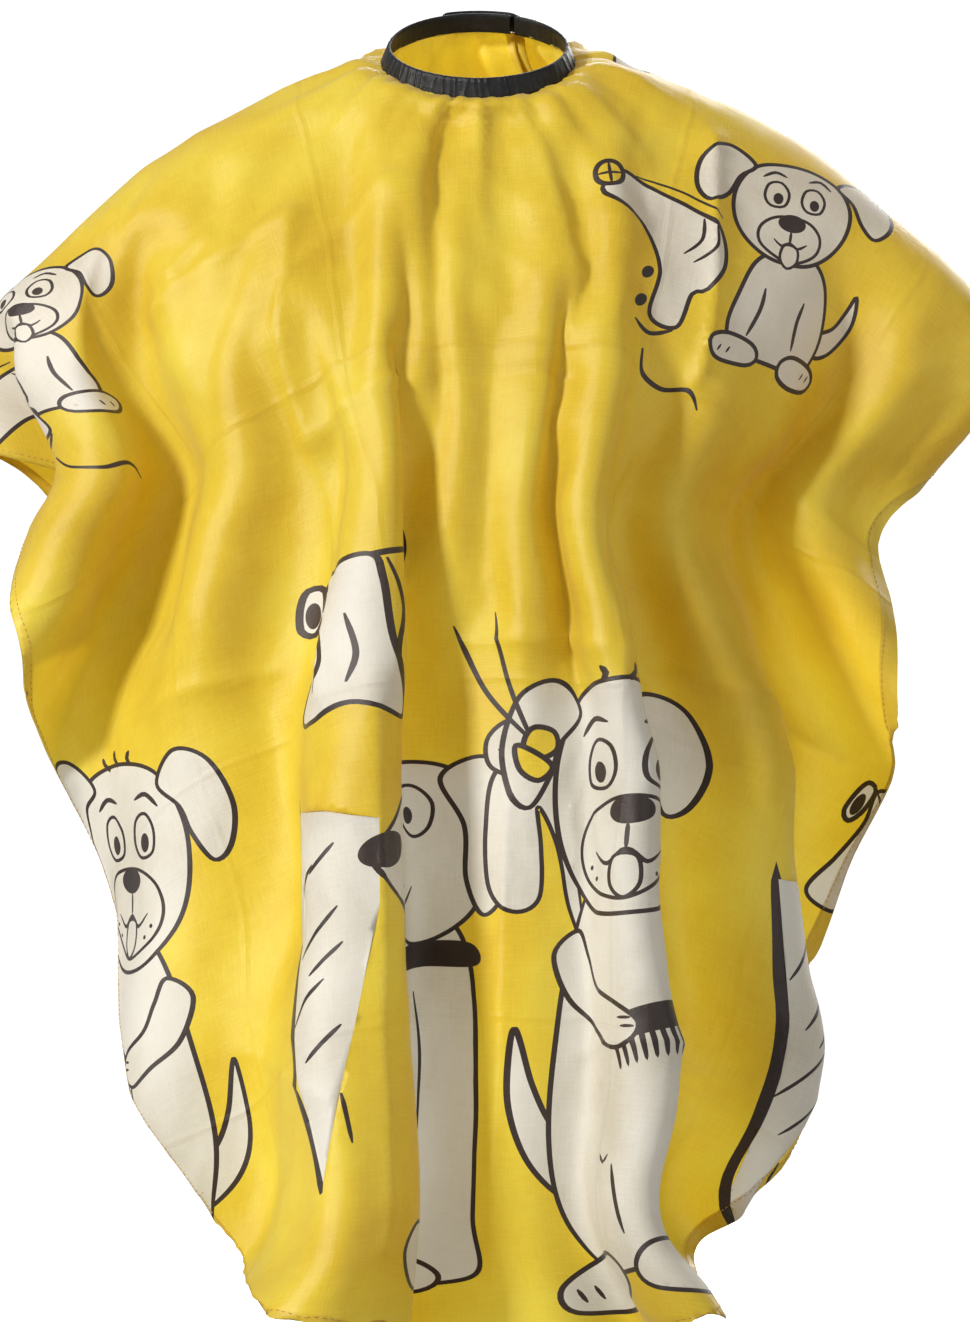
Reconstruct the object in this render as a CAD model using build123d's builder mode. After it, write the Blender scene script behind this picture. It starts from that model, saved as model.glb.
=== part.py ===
from build123d import *
from math import cos, copysign, radians, sin
import os

# Children's hairdressing cape, worn and draped: millimetres, +Z up, front at -Y.
# Origin at the centre of the neck opening, which leans down towards the front.

# Neck opening
neck_radius = 55.0
band_height = 13.0
band_thickness = 2.0
neck_lean = 25.0
split_angle = 66.5
split_width = 2.0

# Cloth edge held in the band, and elastic above it
lip_inset = 0.6
lip_thickness = 0.8
lip_top = -4.8
lip_bottom = -7.4
elastic_thickness = 0.8
elastic_width = 4.0
elastic_middle = 3.4
elastic_start = 120.0
elastic_arc = 291.0

# Cloth panel
cloth = 1.6
slit_width = 3.2
fold_count = 9
fold_phase = 9.0
section_points = 54

# Panel sections, top to bottom:
# (height, fore-aft centre, lean, half width, front depth, back depth, squareness, fold depth)
sections = [
    (-5.89, 2.75, 25.0, 57.0, 57.0, 57.0, 2.00, 0.0),
    (-15.0, 3.5, 23.0, 82.0, 64.0, 67.0, 2.00, 0.3),
    (-30.0, 4.0, 19.0, 118.0, 74.0, 80.0, 2.05, 1.0),
    (-62.0, 4.0, 12.0, 190.0, 97.0, 110.0, 2.10, 2.5),
    (-106.0, 3.0, 6.0, 254.0, 118.0, 140.0, 2.15, 5.0),
    (-160.0, 2.0, 2.0, 312.0, 134.0, 166.0, 2.15, 8.0),
    (-212.0, 0.0, 0.0, 350.0, 146.0, 182.0, 2.15, 10.0),
    (-262.0, 0.0, 0.0, 326.0, 156.0, 190.0, 2.20, 12.0),
    (-320.0, 0.0, 0.0, 294.0, 167.0, 194.0, 2.25, 13.0),
    (-420.0, 0.0, 0.0, 286.0, 183.0, 196.0, 2.30, 15.0),
    (-520.0, 0.0, 0.0, 262.0, 198.0, 196.0, 2.30, 17.0),
    (-640.0, 0.0, 0.0, 232.0, 216.0, 196.0, 2.30, 19.0),
    (-740.0, 0.0, 0.0, 205.0, 231.0, 196.0, 2.30, 20.0),
    (-850.0, 0.0, 0.0, 168.0, 246.0, 196.0, 2.30, 21.0),
]

# Hem line seen from the side, (fore-aft, height), from the back hem to the front hem
hem_line = [
    (150.0, -338.0),
    (100.0, -318.0),
    (45.0, -268.0),
    (5.0, -238.0),
    (-22.0, -290.0),
    (-36.0, -390.0),
    (-52.0, -500.0),
    (-74.0, -610.0),
    (-105.0, -705.0),
    (-150.0, -780.0),
    (-200.0, -818.0),
]

# Closure
stud_angles = (102.0, 90.0, 78.0)
snap_angles = (102.0, 90.0)
strip_thickness = 0.8
stud_base = 0.6
knob_height = 1.5
knob_radius = 1.7
snap_radius = 4.8
socket_gap = 0.35
socket_bore = 2.4
post_radius = 1.2
flange_radius = 4.4
flange_depth = 0.6
strip_start = 68.5
strip_arc = 43.5
root_start = 50.0
root_thickness = 1.6
tab_inner = 60.3
tab_thickness = 1.4
tab_height = 13.0
cap_height = 1.3
cap_radius = 4.9
hinge_angle = 62.5

# Strap path round the neck, (angle, inner radius), from its root to its free end
tab_path = [
    (62.5, 57.2),
    (64.0, 57.45),
    (65.5, 58.2),
    (67.5, 59.5),
    (69.5, 60.15),
    (72.0, 60.3),
    (80.0, 60.3),
    (90.0, 60.3),
    (100.0, 60.3),
    (108.0, 60.3),
    (114.0, 60.3),
]

# Label
label_angle = 242.0
label_width = 28.0
label_drop = 14.0
label_thickness = 0.5
label_slope = 30.0
label_reach = 59.0
label_height = -11.7

# Thread
thread = 0.45
stitch = 3.0
stitch_pitch = 4.5
tab_stitch_start = 73.0
tab_stitch_count = 9

os.makedirs("parts", exist_ok=True)

lean = radians(neck_lean)
origin = Vector(0, 0, 0)
axis_dir = Vector(0, -sin(lean), cos(lean))
back_dir = Vector(0, cos(lean), sin(lean))
neck = Plane(origin=origin, x_dir=(1, 0, 0), z_dir=axis_dir)
neck_axis = Axis(origin, axis_dir)
half_band = band_height / 2
band_outer = neck_radius + band_thickness
strip_outer = band_outer + strip_thickness
tab_outer = tab_inner + tab_thickness
lip_middle = neck_radius + band_thickness / 2


def outward(angle):
    """Unit vector away from the neck axis, at an angle from +X towards the back."""
    a = radians(angle)
    return Vector(1, 0, 0) * cos(a) + back_dir * sin(a)


def radial_plane(angle, radius, height=0.0):
    """Plane facing outward at a point on the neck: x runs round it and y runs along its axis."""
    out = outward(angle)
    return Plane(
        origin=out * radius + axis_dir * height,
        x_dir=axis_dir.cross(out),
        z_dir=out,
    )


def meridian_plane(angle):
    """Plane through the neck axis: x is the distance from the axis and y the height along it."""
    out = outward(angle)
    return Plane(origin=origin, x_dir=out, z_dir=out.cross(axis_dir))


def polar(radius, angle):
    """Point in the neck plane at a radius and an angle."""
    a = radians(angle)
    return (radius * cos(a), radius * sin(a))


def rounded(value, power):
    return copysign(abs(value) ** power, value)


def outline(section, inset):
    """Closed draped section: a squared oval with folds, drawn in by an inset."""
    _, _, _, half_width, front, back, square, fold = section
    points = []
    for step in range(section_points):
        a = radians(step * 360 / section_points)
        depth = back if sin(a) > 0 else front
        x = (half_width - inset) * rounded(cos(a), 2 / square)
        y = (depth - inset) * rounded(sin(a), 2 / square)
        wave = fold * abs(sin(a)) * cos(fold_count * a + radians(fold_phase))
        grow = 1 + wave / (x * x + y * y) ** 0.5
        points.append((x * grow, y * grow))
    return points


def section_plane(section, inset):
    """Plane of a section, lowered by the inset."""
    height, middle, tilt, _, _, _, _, _ = section
    a = radians(tilt)
    up = Vector(0, -sin(a), cos(a))
    return Plane(origin=Vector(0, middle, height) - up * inset, x_dir=(1, 0, 0), z_dir=up)


# Plane of the label: x runs along its seam and -y down its face
slope = radians(label_slope)
label_out = outward(label_angle)
label_plane = Plane(
    origin=label_out * label_reach + axis_dir * label_height,
    x_dir=axis_dir.cross(label_out),
    z_dir=label_out * sin(slope) + axis_dir * cos(slope),
)

# Solid filling of the drape, and its hollow
with BuildPart() as drape:
    for section in sections:
        with BuildSketch(section_plane(section, 0.0)):
            with BuildLine():
                Spline(outline(section, 0.0), periodic=True)
            make_face()
    loft()

with BuildPart() as hollow:
    for section in sections:
        with BuildSketch(section_plane(section, cloth)):
            with BuildLine():
                Spline(outline(section, cloth), periodic=True)
            make_face()
    loft()

# Everything beyond the hem line
with BuildPart() as beyond_hem:
    with BuildSketch(Plane.YZ):
        with BuildLine():
            Spline(hem_line)
            Polyline(hem_line[-1], (-330, -826), (-330, -900), (330, -900), (330, -342), hem_line[0])
        make_face()
    extrude(amount=450, both=True)

# Cape panel: thin draped shell with the back slit, its neck edge held in the band
with BuildPart() as cape_panel:
    add(drape.part)
    add(hollow.part, mode=Mode.SUBTRACT)
    add(beyond_hem.part, mode=Mode.SUBTRACT)
    with BuildSketch(neck.offset(-20)):
        Circle(neck_radius + lip_inset)
    extrude(amount=30, mode=Mode.SUBTRACT)
    with BuildSketch(meridian_plane(0)):
        with Locations((lip_middle, (lip_top + lip_bottom) / 2)):
            Rectangle(lip_thickness, lip_top - lip_bottom)
    revolve(axis=neck_axis)
    with BuildSketch(Plane.XZ.offset(-20)):
        with Locations((outward(split_angle).X * lip_middle, -180)):
            Rectangle(slit_width, 460)
    extrude(amount=-280, mode=Mode.SUBTRACT)
cape_panel.part.label = "cape_panel"
export_step(cape_panel.part, "parts/cape_panel.step")

# Neck binding: folded tape with a groove for the cloth, a channel for the elastic and the snap holes
with BuildPart() as neck_binding:
    with BuildSketch(meridian_plane(0)):
        with Locations((lip_middle, 0)):
            Rectangle(band_thickness, band_height)
        fillet(vertices().sort_by(Axis.Y)[-2:], band_thickness * 0.45)
        with Locations((lip_middle, (lip_top - half_band) / 2)):
            Rectangle(lip_thickness, lip_top + half_band, mode=Mode.SUBTRACT)
    revolve(axis=neck_axis)
    with BuildSketch(meridian_plane(elastic_start)):
        with Locations((lip_middle, elastic_middle)):
            Rectangle(elastic_thickness, elastic_width)
    revolve(axis=neck_axis, revolution_arc=elastic_arc, mode=Mode.SUBTRACT)
    with BuildSketch(radial_plane(split_angle, neck_radius - 5)):
        Rectangle(split_width, band_height + 2)
    extrude(amount=12, mode=Mode.SUBTRACT)
    for angle in stud_angles:
        with BuildSketch(radial_plane(angle, neck_radius - 5)):
            Circle(flange_radius + 0.2)
        extrude(amount=5 + flange_depth, mode=Mode.SUBTRACT)
        with BuildSketch(radial_plane(angle, neck_radius)):
            Circle(post_radius)
        extrude(amount=5, mode=Mode.SUBTRACT)
neck_binding.part.label = "neck_binding"
export_step(neck_binding.part, "parts/neck_binding.step")

# Elastic that gathers the binding
with BuildPart() as neck_elastic:
    with BuildSketch(meridian_plane(elastic_start)):
        with Locations((lip_middle, elastic_middle)):
            Rectangle(elastic_thickness, elastic_width)
    revolve(axis=neck_axis, revolution_arc=elastic_arc)
neck_elastic.part.label = "neck_elastic"
export_step(neck_elastic.part, "parts/neck_elastic.step")

# Stud strip: tape laid over the under end of the binding
with BuildPart() as stud_strip:
    with BuildSketch(meridian_plane(strip_start)):
        with Locations((band_outer + strip_thickness / 2, 0)):
            Rectangle(strip_thickness, tab_height - 1)
    revolve(axis=neck_axis, revolution_arc=strip_arc)
    for angle in stud_angles:
        with BuildSketch(radial_plane(angle, neck_radius)):
            Circle(post_radius)
        extrude(amount=5, mode=Mode.SUBTRACT)
stud_strip.part.label = "stud_strip"
export_step(stud_strip.part, "parts/stud_strip.step")

# Studs on the strip, and the posts pressed into them from inside the neck
for number, angle in enumerate(stud_angles, start=1):
    with BuildPart() as snap_stud:
        with BuildSketch(radial_plane(angle, neck_radius)):
            Circle(snap_radius)
        extrude(amount=strip_outer + stud_base - neck_radius)
        with BuildSketch(radial_plane(angle, strip_outer + stud_base)):
            Circle(knob_radius)
        extrude(amount=knob_height)
        knob_rim = edges().filter_by(GeomType.CIRCLE).sort_by(Axis(origin, outward(angle)))[-1]
        fillet(knob_rim, 0.4)
        with BuildSketch(neck.offset(-20)):
            Circle(strip_outer)
        extrude(amount=40, mode=Mode.SUBTRACT)
    snap_stud.part.label = f"snap_stud_{number}"
    export_step(snap_stud.part, f"parts/snap_stud_{number}.step")

    with BuildPart() as snap_post:
        with BuildSketch(radial_plane(angle, neck_radius + 0.1)):
            Circle(flange_radius)
        extrude(amount=flange_depth - 0.1)
        with BuildSketch(radial_plane(angle, neck_radius + flange_depth)):
            Circle(post_radius)
        extrude(amount=strip_outer - neck_radius - flange_depth - 0.02)
    snap_post.part.label = f"snap_post_{number}"
    export_step(snap_post.part, f"parts/snap_post_{number}.step")

# Overlap root: the end of the strap that is sewn to the binding
with BuildPart() as overlap_root:
    with BuildSketch(meridian_plane(root_start)):
        with Locations((band_outer + root_thickness / 2, 0)):
            Rectangle(root_thickness, tab_height - 1)
    revolve(axis=neck_axis, revolution_arc=hinge_angle - root_start - 0.2)
overlap_root.part.label = "overlap_root"
export_step(overlap_root.part, "parts/overlap_root.step")

# Overlap tab: free strap that steps up from its root and passes over the studs
with BuildPart() as overlap_tab:
    with BuildSketch(neck.offset(-tab_height / 2)):
        with BuildLine():
            inner = Spline([polar(radius, angle) for angle, radius in tab_path])
            outer = Spline([polar(radius + tab_thickness, angle) for angle, radius in tab_path])
            Line(inner @ 0, outer @ 0)
            Line(inner @ 1, outer @ 1)
        make_face()
    extrude(amount=tab_height)
    tip_corners = edges().filter_by(Axis(origin, outward(tab_path[-1][0])))
    fillet(tip_corners, tab_height * 0.35)
    for angle in snap_angles:
        with BuildSketch(radial_plane(angle, neck_radius)):
            Circle(post_radius)
        extrude(amount=12, mode=Mode.SUBTRACT)
overlap_tab.part.label = "overlap_tab"
export_step(overlap_tab.part, "parts/overlap_tab.step")

# Sockets under the strap, and the caps on its face with their posts
for number, angle in enumerate(snap_angles, start=1):
    with BuildPart() as snap_socket:
        with BuildSketch(neck.offset(-20)):
            Circle(tab_inner)
        extrude(amount=40)
        with BuildSketch(radial_plane(angle, strip_outer + stud_base + socket_gap)):
            Circle(snap_radius)
            Circle(socket_bore, mode=Mode.SUBTRACT)
        extrude(amount=4, mode=Mode.INTERSECT)
    snap_socket.part.label = f"snap_socket_{number}"
    export_step(snap_socket.part, f"parts/snap_socket_{number}.step")

    with BuildPart() as snap_cap:
        with BuildSketch(radial_plane(angle, tab_inner)):
            Circle(cap_radius)
        extrude(amount=tab_thickness + cap_height)
        cap_rim = edges().filter_by(GeomType.CIRCLE).sort_by(Axis(origin, outward(angle)))[-1]
        fillet(cap_rim, cap_height * 0.6)
        with BuildSketch(neck.offset(-20)):
            Circle(tab_outer)
        extrude(amount=40, mode=Mode.SUBTRACT)
        with BuildSketch(radial_plane(angle, tab_inner + 0.02)):
            Circle(post_radius)
        extrude(amount=tab_thickness)
    snap_cap.part.label = f"snap_cap_{number}"
    export_step(snap_cap.part, f"parts/snap_cap_{number}.step")

# Care label, hanging from the neck seam just under the cloth
with BuildPart() as care_label:
    with BuildSketch(label_plane):
        with Locations((0, -label_drop / 2)):
            Rectangle(label_width, label_drop)
        fillet(vertices().sort_by(Axis.Y)[:2], 1.0)
    extrude(amount=-label_thickness)
care_label.part.label = "care_label"
export_step(care_label.part, "parts/care_label.step")

# Thread along the binding, round the sewn end of the strap and along the stud strip
band_rows = [(band_outer, -half_band + 1.7, 124.0, 408.0)]
band_rows.append((band_outer + root_thickness, tab_height / 2 - 1.6, root_start + 1.5, hinge_angle - 1.5))
band_rows.append((band_outer + root_thickness, 1.6 - tab_height / 2, root_start + 1.5, hinge_angle - 1.5))
band_rows.append((strip_outer, tab_height / 2 - 1.3, strip_start + 2, strip_start + strip_arc - 2))
band_rows.append((strip_outer, 1.3 - tab_height / 2, strip_start + 2, strip_start + strip_arc - 2))
with BuildPart() as band_stitches:
    for radius, height, start, end in band_rows:
        count = round((end - start) / stitch_pitch)
        for step in range(count + 1):
            angle = start + (end - start) * step / count
            with BuildSketch(radial_plane(angle, radius, height)):
                SlotOverall(stitch, thread)
            extrude(amount=thread)
band_stitches.part.label = "band_stitches"
export_step(band_stitches.part, "parts/band_stitches.step")

# Thread along both edges of the strap
with BuildPart() as tab_stitches:
    for height in (tab_height / 2 - 0.9, 0.9 - tab_height / 2):
        for step in range(tab_stitch_count):
            angle = tab_stitch_start + step * stitch_pitch
            with BuildSketch(radial_plane(angle, tab_outer, height)):
                SlotOverall(stitch, thread)
            extrude(amount=thread)
tab_stitches.part.label = "tab_stitches"
export_step(tab_stitches.part, "parts/tab_stitches.step")

# Thread across the top of the label
with BuildPart() as label_stitches:
    for step in range(6):
        with BuildSketch(label_plane.offset(-label_thickness)):
            with Locations(((step - 2.5) * 4.4, -1.2)):
                SlotOverall(stitch, thread)
        extrude(amount=-thread)
label_stitches.part.label = "label_stitches"
export_step(label_stitches.part, "parts/label_stitches.step")
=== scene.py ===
import bpy
import bmesh
import math
import random
import numpy as np
from mathutils import Matrix, Vector, geometry, noise as field
from mathutils.bvhtree import BVHTree


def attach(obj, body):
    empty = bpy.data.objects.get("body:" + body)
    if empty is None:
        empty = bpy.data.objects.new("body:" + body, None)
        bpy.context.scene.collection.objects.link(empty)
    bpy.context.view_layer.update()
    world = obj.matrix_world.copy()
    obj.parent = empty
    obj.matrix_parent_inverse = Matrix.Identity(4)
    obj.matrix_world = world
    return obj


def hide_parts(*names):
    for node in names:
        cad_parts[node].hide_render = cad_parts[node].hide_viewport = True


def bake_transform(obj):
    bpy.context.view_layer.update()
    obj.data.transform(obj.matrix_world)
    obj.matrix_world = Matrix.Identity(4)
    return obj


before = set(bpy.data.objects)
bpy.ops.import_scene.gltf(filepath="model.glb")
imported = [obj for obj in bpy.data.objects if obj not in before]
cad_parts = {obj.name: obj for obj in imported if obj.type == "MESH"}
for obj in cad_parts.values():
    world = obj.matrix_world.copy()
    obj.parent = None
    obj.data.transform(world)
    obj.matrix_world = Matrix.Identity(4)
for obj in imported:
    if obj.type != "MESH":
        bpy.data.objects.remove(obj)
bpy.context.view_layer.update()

# ---------------- sizes, in metres
NECK_R = 0.055                      # inside radius of the binding
LEAN = math.radians(25)             # the neck opening leans down to the front
BAND_H = 0.013
UP = Vector((0, -math.sin(LEAN), math.cos(LEAN)))
BACK = Vector((0, math.cos(LEAN), math.sin(LEAN)))
SLIT_DEG = 66.5                     # where the binding is split, from +X towards the back
CUT_HALF = 0.470                    # half width of the flat cut
CUT_FRONT = 0.885                   # neck centre to front hem
CUT_BACK = 0.300                    # neck centre to back hem
CUT_HOLE = 0.062                    # neck hole before it is gathered
HEM = 0.011
THREAD = 0.00022                    # radius of the thread of the hem
SLIT_A = math.radians(90 - SLIT_DEG)
SLIT_U = CUT_HOLE * math.sin(SLIT_A)

scene = bpy.context.scene
scene.view_settings.view_transform = "Standard"

# ---------------- camera
VIEW_HEIGHT = 0.835747              # what the picture shows from top to bottom, at FRONT
FRONT = -0.12
DIST = 5.0
CAMERA_X, CAMERA_Z = 0.0044, -0.394
cam_data = bpy.data.cameras.new("camera")
cam = bpy.data.objects.new("camera", cam_data)
scene.collection.objects.link(cam)
cam.location = (CAMERA_X, -DIST, CAMERA_Z)
cam.rotation_euler = (math.radians(90), 0, 0)
cam_data.sensor_fit = "VERTICAL"
cam_data.sensor_height = 24.0
cam_data.lens = cam_data.sensor_height * (DIST + FRONT) / VIEW_HEIGHT
cam_data.clip_end = 100
scene.camera = cam


# ---------------- small helpers
def link(name, verts, faces):
    """A smooth mesh object in the scene."""
    mesh = bpy.data.meshes.new(name)
    mesh.from_pydata([tuple(v) for v in verts], [], faces)
    mesh.update()
    mesh.polygons.foreach_set("use_smooth", [True] * len(mesh.polygons))
    ob = bpy.data.objects.new(name, mesh)
    scene.collection.objects.link(ob)
    return ob


def tube_faces(rings, n, first=0):
    """Faces of a closed tube through rings of n points each, with both ends shut."""
    faces = []
    for i in range(rings - 1):
        for j in range(n):
            a, b = first + i * n + j, first + i * n + (j + 1) % n
            faces.append((a, b, b + n, a + n))
    last = first + (rings - 1) * n
    return faces + [tuple(range(first, first + n))[::-1], tuple(range(last, last + n))]


def grid_faces(rows, n):
    """Faces of an open grid of rows of n points each."""
    return [(a, a + 1, a + n + 1, a + n) for j in range(rows - 1) for a in range(j * n, j * n + n - 1)]


def face_outwards(ob):
    """Turns all faces of a closed mesh outwards."""
    bm = bmesh.new()
    bm.from_mesh(ob.data)
    bmesh.ops.recalc_face_normals(bm, faces=bm.faces)
    bm.to_mesh(ob.data)
    bm.free()


def signed_area(loop):
    """Area inside a closed flat loop, negative where it runs clockwise."""
    x, y = loop[:, 0], loop[:, 1]
    return 0.5 * np.sum(x * np.roll(y, -1) - np.roll(x, -1) * y)


def outward(deg):
    """Direction from the middle of the neck opening, at an angle round it."""
    a = math.radians(deg)
    return Vector((1, 0, 0)) * math.cos(a) + BACK * math.sin(a)


def neck_point(radius, deg, height):
    """Point near the neck opening, by radius, angle round it and height along its axis."""
    return outward(deg) * radius + UP * height


def smooth01(x):
    """Smooth step from 0 to 1."""
    x = np.clip(x, 0, 1)
    return x * x * (3 - 2 * x)


# ---------------- hidden stand for the simulation
def loft(name, rings):
    """Closed body through rings of points."""
    return link(name, [p for r in rings for p in r], tube_faces(len(rings), len(rings[0])))


def oval(cy, z, a, b, e):
    """Ring of a rounded section: middle across and height, half sizes, and how square it is."""
    out = []
    for k in range(48):
        t = 2 * math.pi * k / 48
        c, s = math.cos(t), math.sin(t)
        out.append((a * math.copysign(abs(c) ** (2 / e), c), cy + b * math.copysign(abs(s) ** (2 / e), s), z))
    return out


def make_stand():
    """Shoulders, trunk and bent arms for the cloth to hang on; taken away after the simulation."""
    rings = [                       # height, half width, half depth, middle, squareness
        (-.60, .150, .105, .0, 2.2), (-.45, .150, .105, .0, 2.2), (-.33, .165, .115, -.005, 2.2),
        (-.24, .190, .118, -.006, 2.3), (-.17, .214, .110, .0, 2.4), (-.125, .231, .085, .008, 2.3),
        (-.100, .232, .070, .010, 2.2), (-.078, .215, .062, .012, 2.1), (-.055, .177, .060, .012, 2.0),
        (-.040, .142, .060, .010, 2.0), (-.022, .092, .060, .008, 2.0), (-.010, .062, .056, .005, 2.0),
        (.03, .052, .052, .0, 2.0)]
    parts = [loft("stand_body", [oval(cy, z, a, b, e) for z, a, b, cy, e in rings])]
    arm_r = .036
    for side, drop in ((-1, -.193), (1, -.200)):
        a, b = Vector((side * .205, .006, -.120)), Vector((side * .288, .006, drop))
        q = (b - a).normalized().to_track_quat("Z", "Y")
        arm = []
        for t in np.linspace(-1, 1, 33):
            mid = a.lerp(b, (t + 1) / 2)
            end = min(1.0, (1 - abs(t)) * 4)
            rad = max(arm_r * math.sqrt(max(0.0, 1 - (1 - end) ** 2)), .002)
            ring = [(math.cos(k / 16 * math.pi), 1.1 * math.sin(k / 16 * math.pi)) for k in range(32)]
            arm.append([tuple(mid + q @ Vector((rad * cx, rad * cy, 0))) for cx, cy in ring])
        parts.append(loft("stand_arm", arm))
    for p in parts:
        p.data.transform(Matrix.Rotation(math.radians(-1.5), 4, "Y"))
        face_outwards(p)
        p.modifiers.new("hit", "COLLISION")
        p.collision.thickness_outer = 0.004
        p.collision.cloth_friction = 5
        p.collision.damping = 0.5
    return parts


# ---------------- the flat cut: u across, v to the front
def cut_half_width(v):
    """Half width of the cut: straight sides, then rounded towards the front hem."""
    straight = 0.10
    if v <= straight:
        return CUT_HALF
    t = (v - straight) / (CUT_FRONT - straight)
    return CUT_HALF * (1 - t ** 4.5) ** (1 / 2.1) if t < 1 else 0.0


def pinned_neck(u, v):
    """Point of the gathered neck edge for a flat point on the neck hole."""
    t = math.atan2(u, -v)
    deg = 90 - math.degrees(t)
    flare = NECK_R + 0.0015 + 0.003 * smooth01((abs(t) - math.radians(40)) / math.radians(50))
    return neck_point(flare, deg, -BAND_H / 2 + 0.001)


def flat_grid(step):
    """Grid over the cut. Returns flat points, faces and the second points along the slit."""
    us = np.arange(-round(CUT_HALF / step) - 3, round(CUT_HALF / step) + 4) * step + SLIT_U
    vs = np.arange(-math.floor(CUT_BACK / step), math.floor(CUT_FRONT / step) + 1) * step
    idx, right, flat = {}, {}, []
    slit_col = int(np.argmin(abs(us - SLIT_U)))
    for i, u in enumerate(us):
        for j, v in enumerate(vs):
            r = math.hypot(u, v)
            if abs(u) > cut_half_width(v) + 0.004 or r < CUT_HOLE - step * 0.5:
                continue
            u2, v2 = (u * CUT_HOLE / r, v * CUT_HOLE / r) if r < CUT_HOLE + step * 0.5 else (u, v)
            idx[i, j] = len(flat)
            flat.append((u2, v2))
            if i == slit_col and v < -0.03:
                right[i, j] = len(flat)
                flat.append((u2 + 1e-5, v2))
    faces = []
    for i in range(len(us) - 1):
        for j in range(len(vs) - 1):
            quad = [(i, j), (i + 1, j), (i + 1, j + 1), (i, j + 1)]
            quad = [k for k in quad if k in idx]
            if len(quad) >= 3:
                faces.append([right.get(k, idx[k]) if i == slit_col else idx[k] for k in quad])
    return np.array(flat), faces, list(right.values())


def first_shape(flat, right):
    """A cone from the neck ring, with shallow folds to start from."""
    u, v = flat[:, 0], flat[:, 1]
    r = np.hypot(u, v)
    th = np.arctan2(u, v)
    out = NECK_R + 0.003 + (r - CUT_HOLE)
    tilt = LEAN * np.exp(-(r - CUT_HOLE) / 0.25)
    x, y = out * np.sin(th), -out * np.cos(th)
    start = np.stack([x, y * np.cos(tilt), y * np.sin(tilt)], 1)
    seed = 0.010 * np.cos(2 * math.pi * (u + 0.048) / 0.135)
    seed += 0.006 * np.cos(2 * math.pi * (u - 0.02) / 0.083 + 0.8)
    seed += 0.004 * np.sin(2 * math.pi * (u + 0.6 * v) / 0.21)
    start[:, 2] += 0.010 - seed * np.clip(v / 0.35, 0, 1)
    start[right, 0] += 0.002
    return start


def set_cloth(mod, rest):
    """Settings of the simulation: a light, rather limp cloth, pinned at the neck."""
    s = mod.settings
    s.quality = 8
    s.mass = 0.3
    s.tension_stiffness = s.compression_stiffness = 40
    s.shear_stiffness = 16
    s.bending_stiffness = 5
    s.tension_damping = s.compression_damping = s.shear_damping = 5
    s.bending_damping = 0.5
    s.air_damping = 1.0
    s.vertex_group_mass = "pin"
    s.pin_stiffness = 1.0
    s.rest_shape_key = rest
    c = mod.collision_settings
    c.collision_quality = 3
    c.distance_min = 0.004
    c.use_self_collision = True
    c.self_distance_min = 0.004


def simulate():
    """Drapes the flat cut over the stand. Returns flat points, draped points and faces."""
    step, frames = 0.014, 95
    flat, faces, right = flat_grid(step)
    start = first_shape(flat, right)
    r = np.hypot(flat[:, 0], flat[:, 1])
    pins = [k for k in range(len(flat)) if r[k] < CUT_HOLE + step * 0.2]
    for k in pins:
        start[k] = pinned_neck(*flat[k])
    cloth = link("cloth", start, faces)
    group = cloth.vertex_groups.new(name="pin")
    group.add(pins, 1.0, "REPLACE")
    cloth.shape_key_add(name="Basis")
    rest = cloth.shape_key_add(name="flat")
    for k, (a, b) in enumerate(flat):
        rest.data[k].co = (a, -b, 0)
    mod = cloth.modifiers.new("cloth", "CLOTH")
    set_cloth(mod, rest)
    mod.point_cache.frame_start, mod.point_cache.frame_end = 1, frames
    for f in range(1, frames + 1):
        scene.frame_set(f)
    done = bpy.data.meshes.new_from_object(cloth.evaluated_get(bpy.context.evaluated_depsgraph_get()))
    scene.frame_set(1)
    co = np.array([p.co[:] for p in done.vertices])
    bpy.data.objects.remove(cloth)
    return flat, co, faces


def subdivide(flat, co, faces):
    """Smooth refinement of the drape; the flat points are refined with it."""
    fine = []
    for data in (co, np.column_stack([flat, np.zeros(len(flat))])):
        ob = link("refine", data, faces)
        mod = ob.modifiers.new("s", "SUBSURF")
        mod.levels = 2
        mod.subdivision_type = "CATMULL_CLARK" if data is co else "SIMPLE"
        mesh = bpy.data.meshes.new_from_object(ob.evaluated_get(bpy.context.evaluated_depsgraph_get()))
        mesh.calc_loop_triangles()
        points = np.array([p.co[:] for p in mesh.vertices])
        tris = np.array([t.vertices[:] for t in mesh.loop_triangles])
        fine.append(points)
        bpy.data.objects.remove(ob)
    return fine[1][:, :2], fine[0], tris


# ---------------- drape fitted to the worn outline
# Half widths of the worn cape, (height, to the left, to the right), read downwards in metres
WORN = [
    (-.17, .310, .315), (-.21, .335, .345), (-.25, .318, .315), (-.29, .290, .272), (-.32, .290, .260),
    (-.36, .300, .270), (-.42, .296, .277), (-.46, .284, .273), (-.52, .272, .244), (-.56, .252, .232),
    (-.60, .238, .217), (-.65, .230, .219), (-.69, .226, .208), (-.72, .218, .186), (-.76, .200, .165),
    (-.81, .182, .142)]


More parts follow.
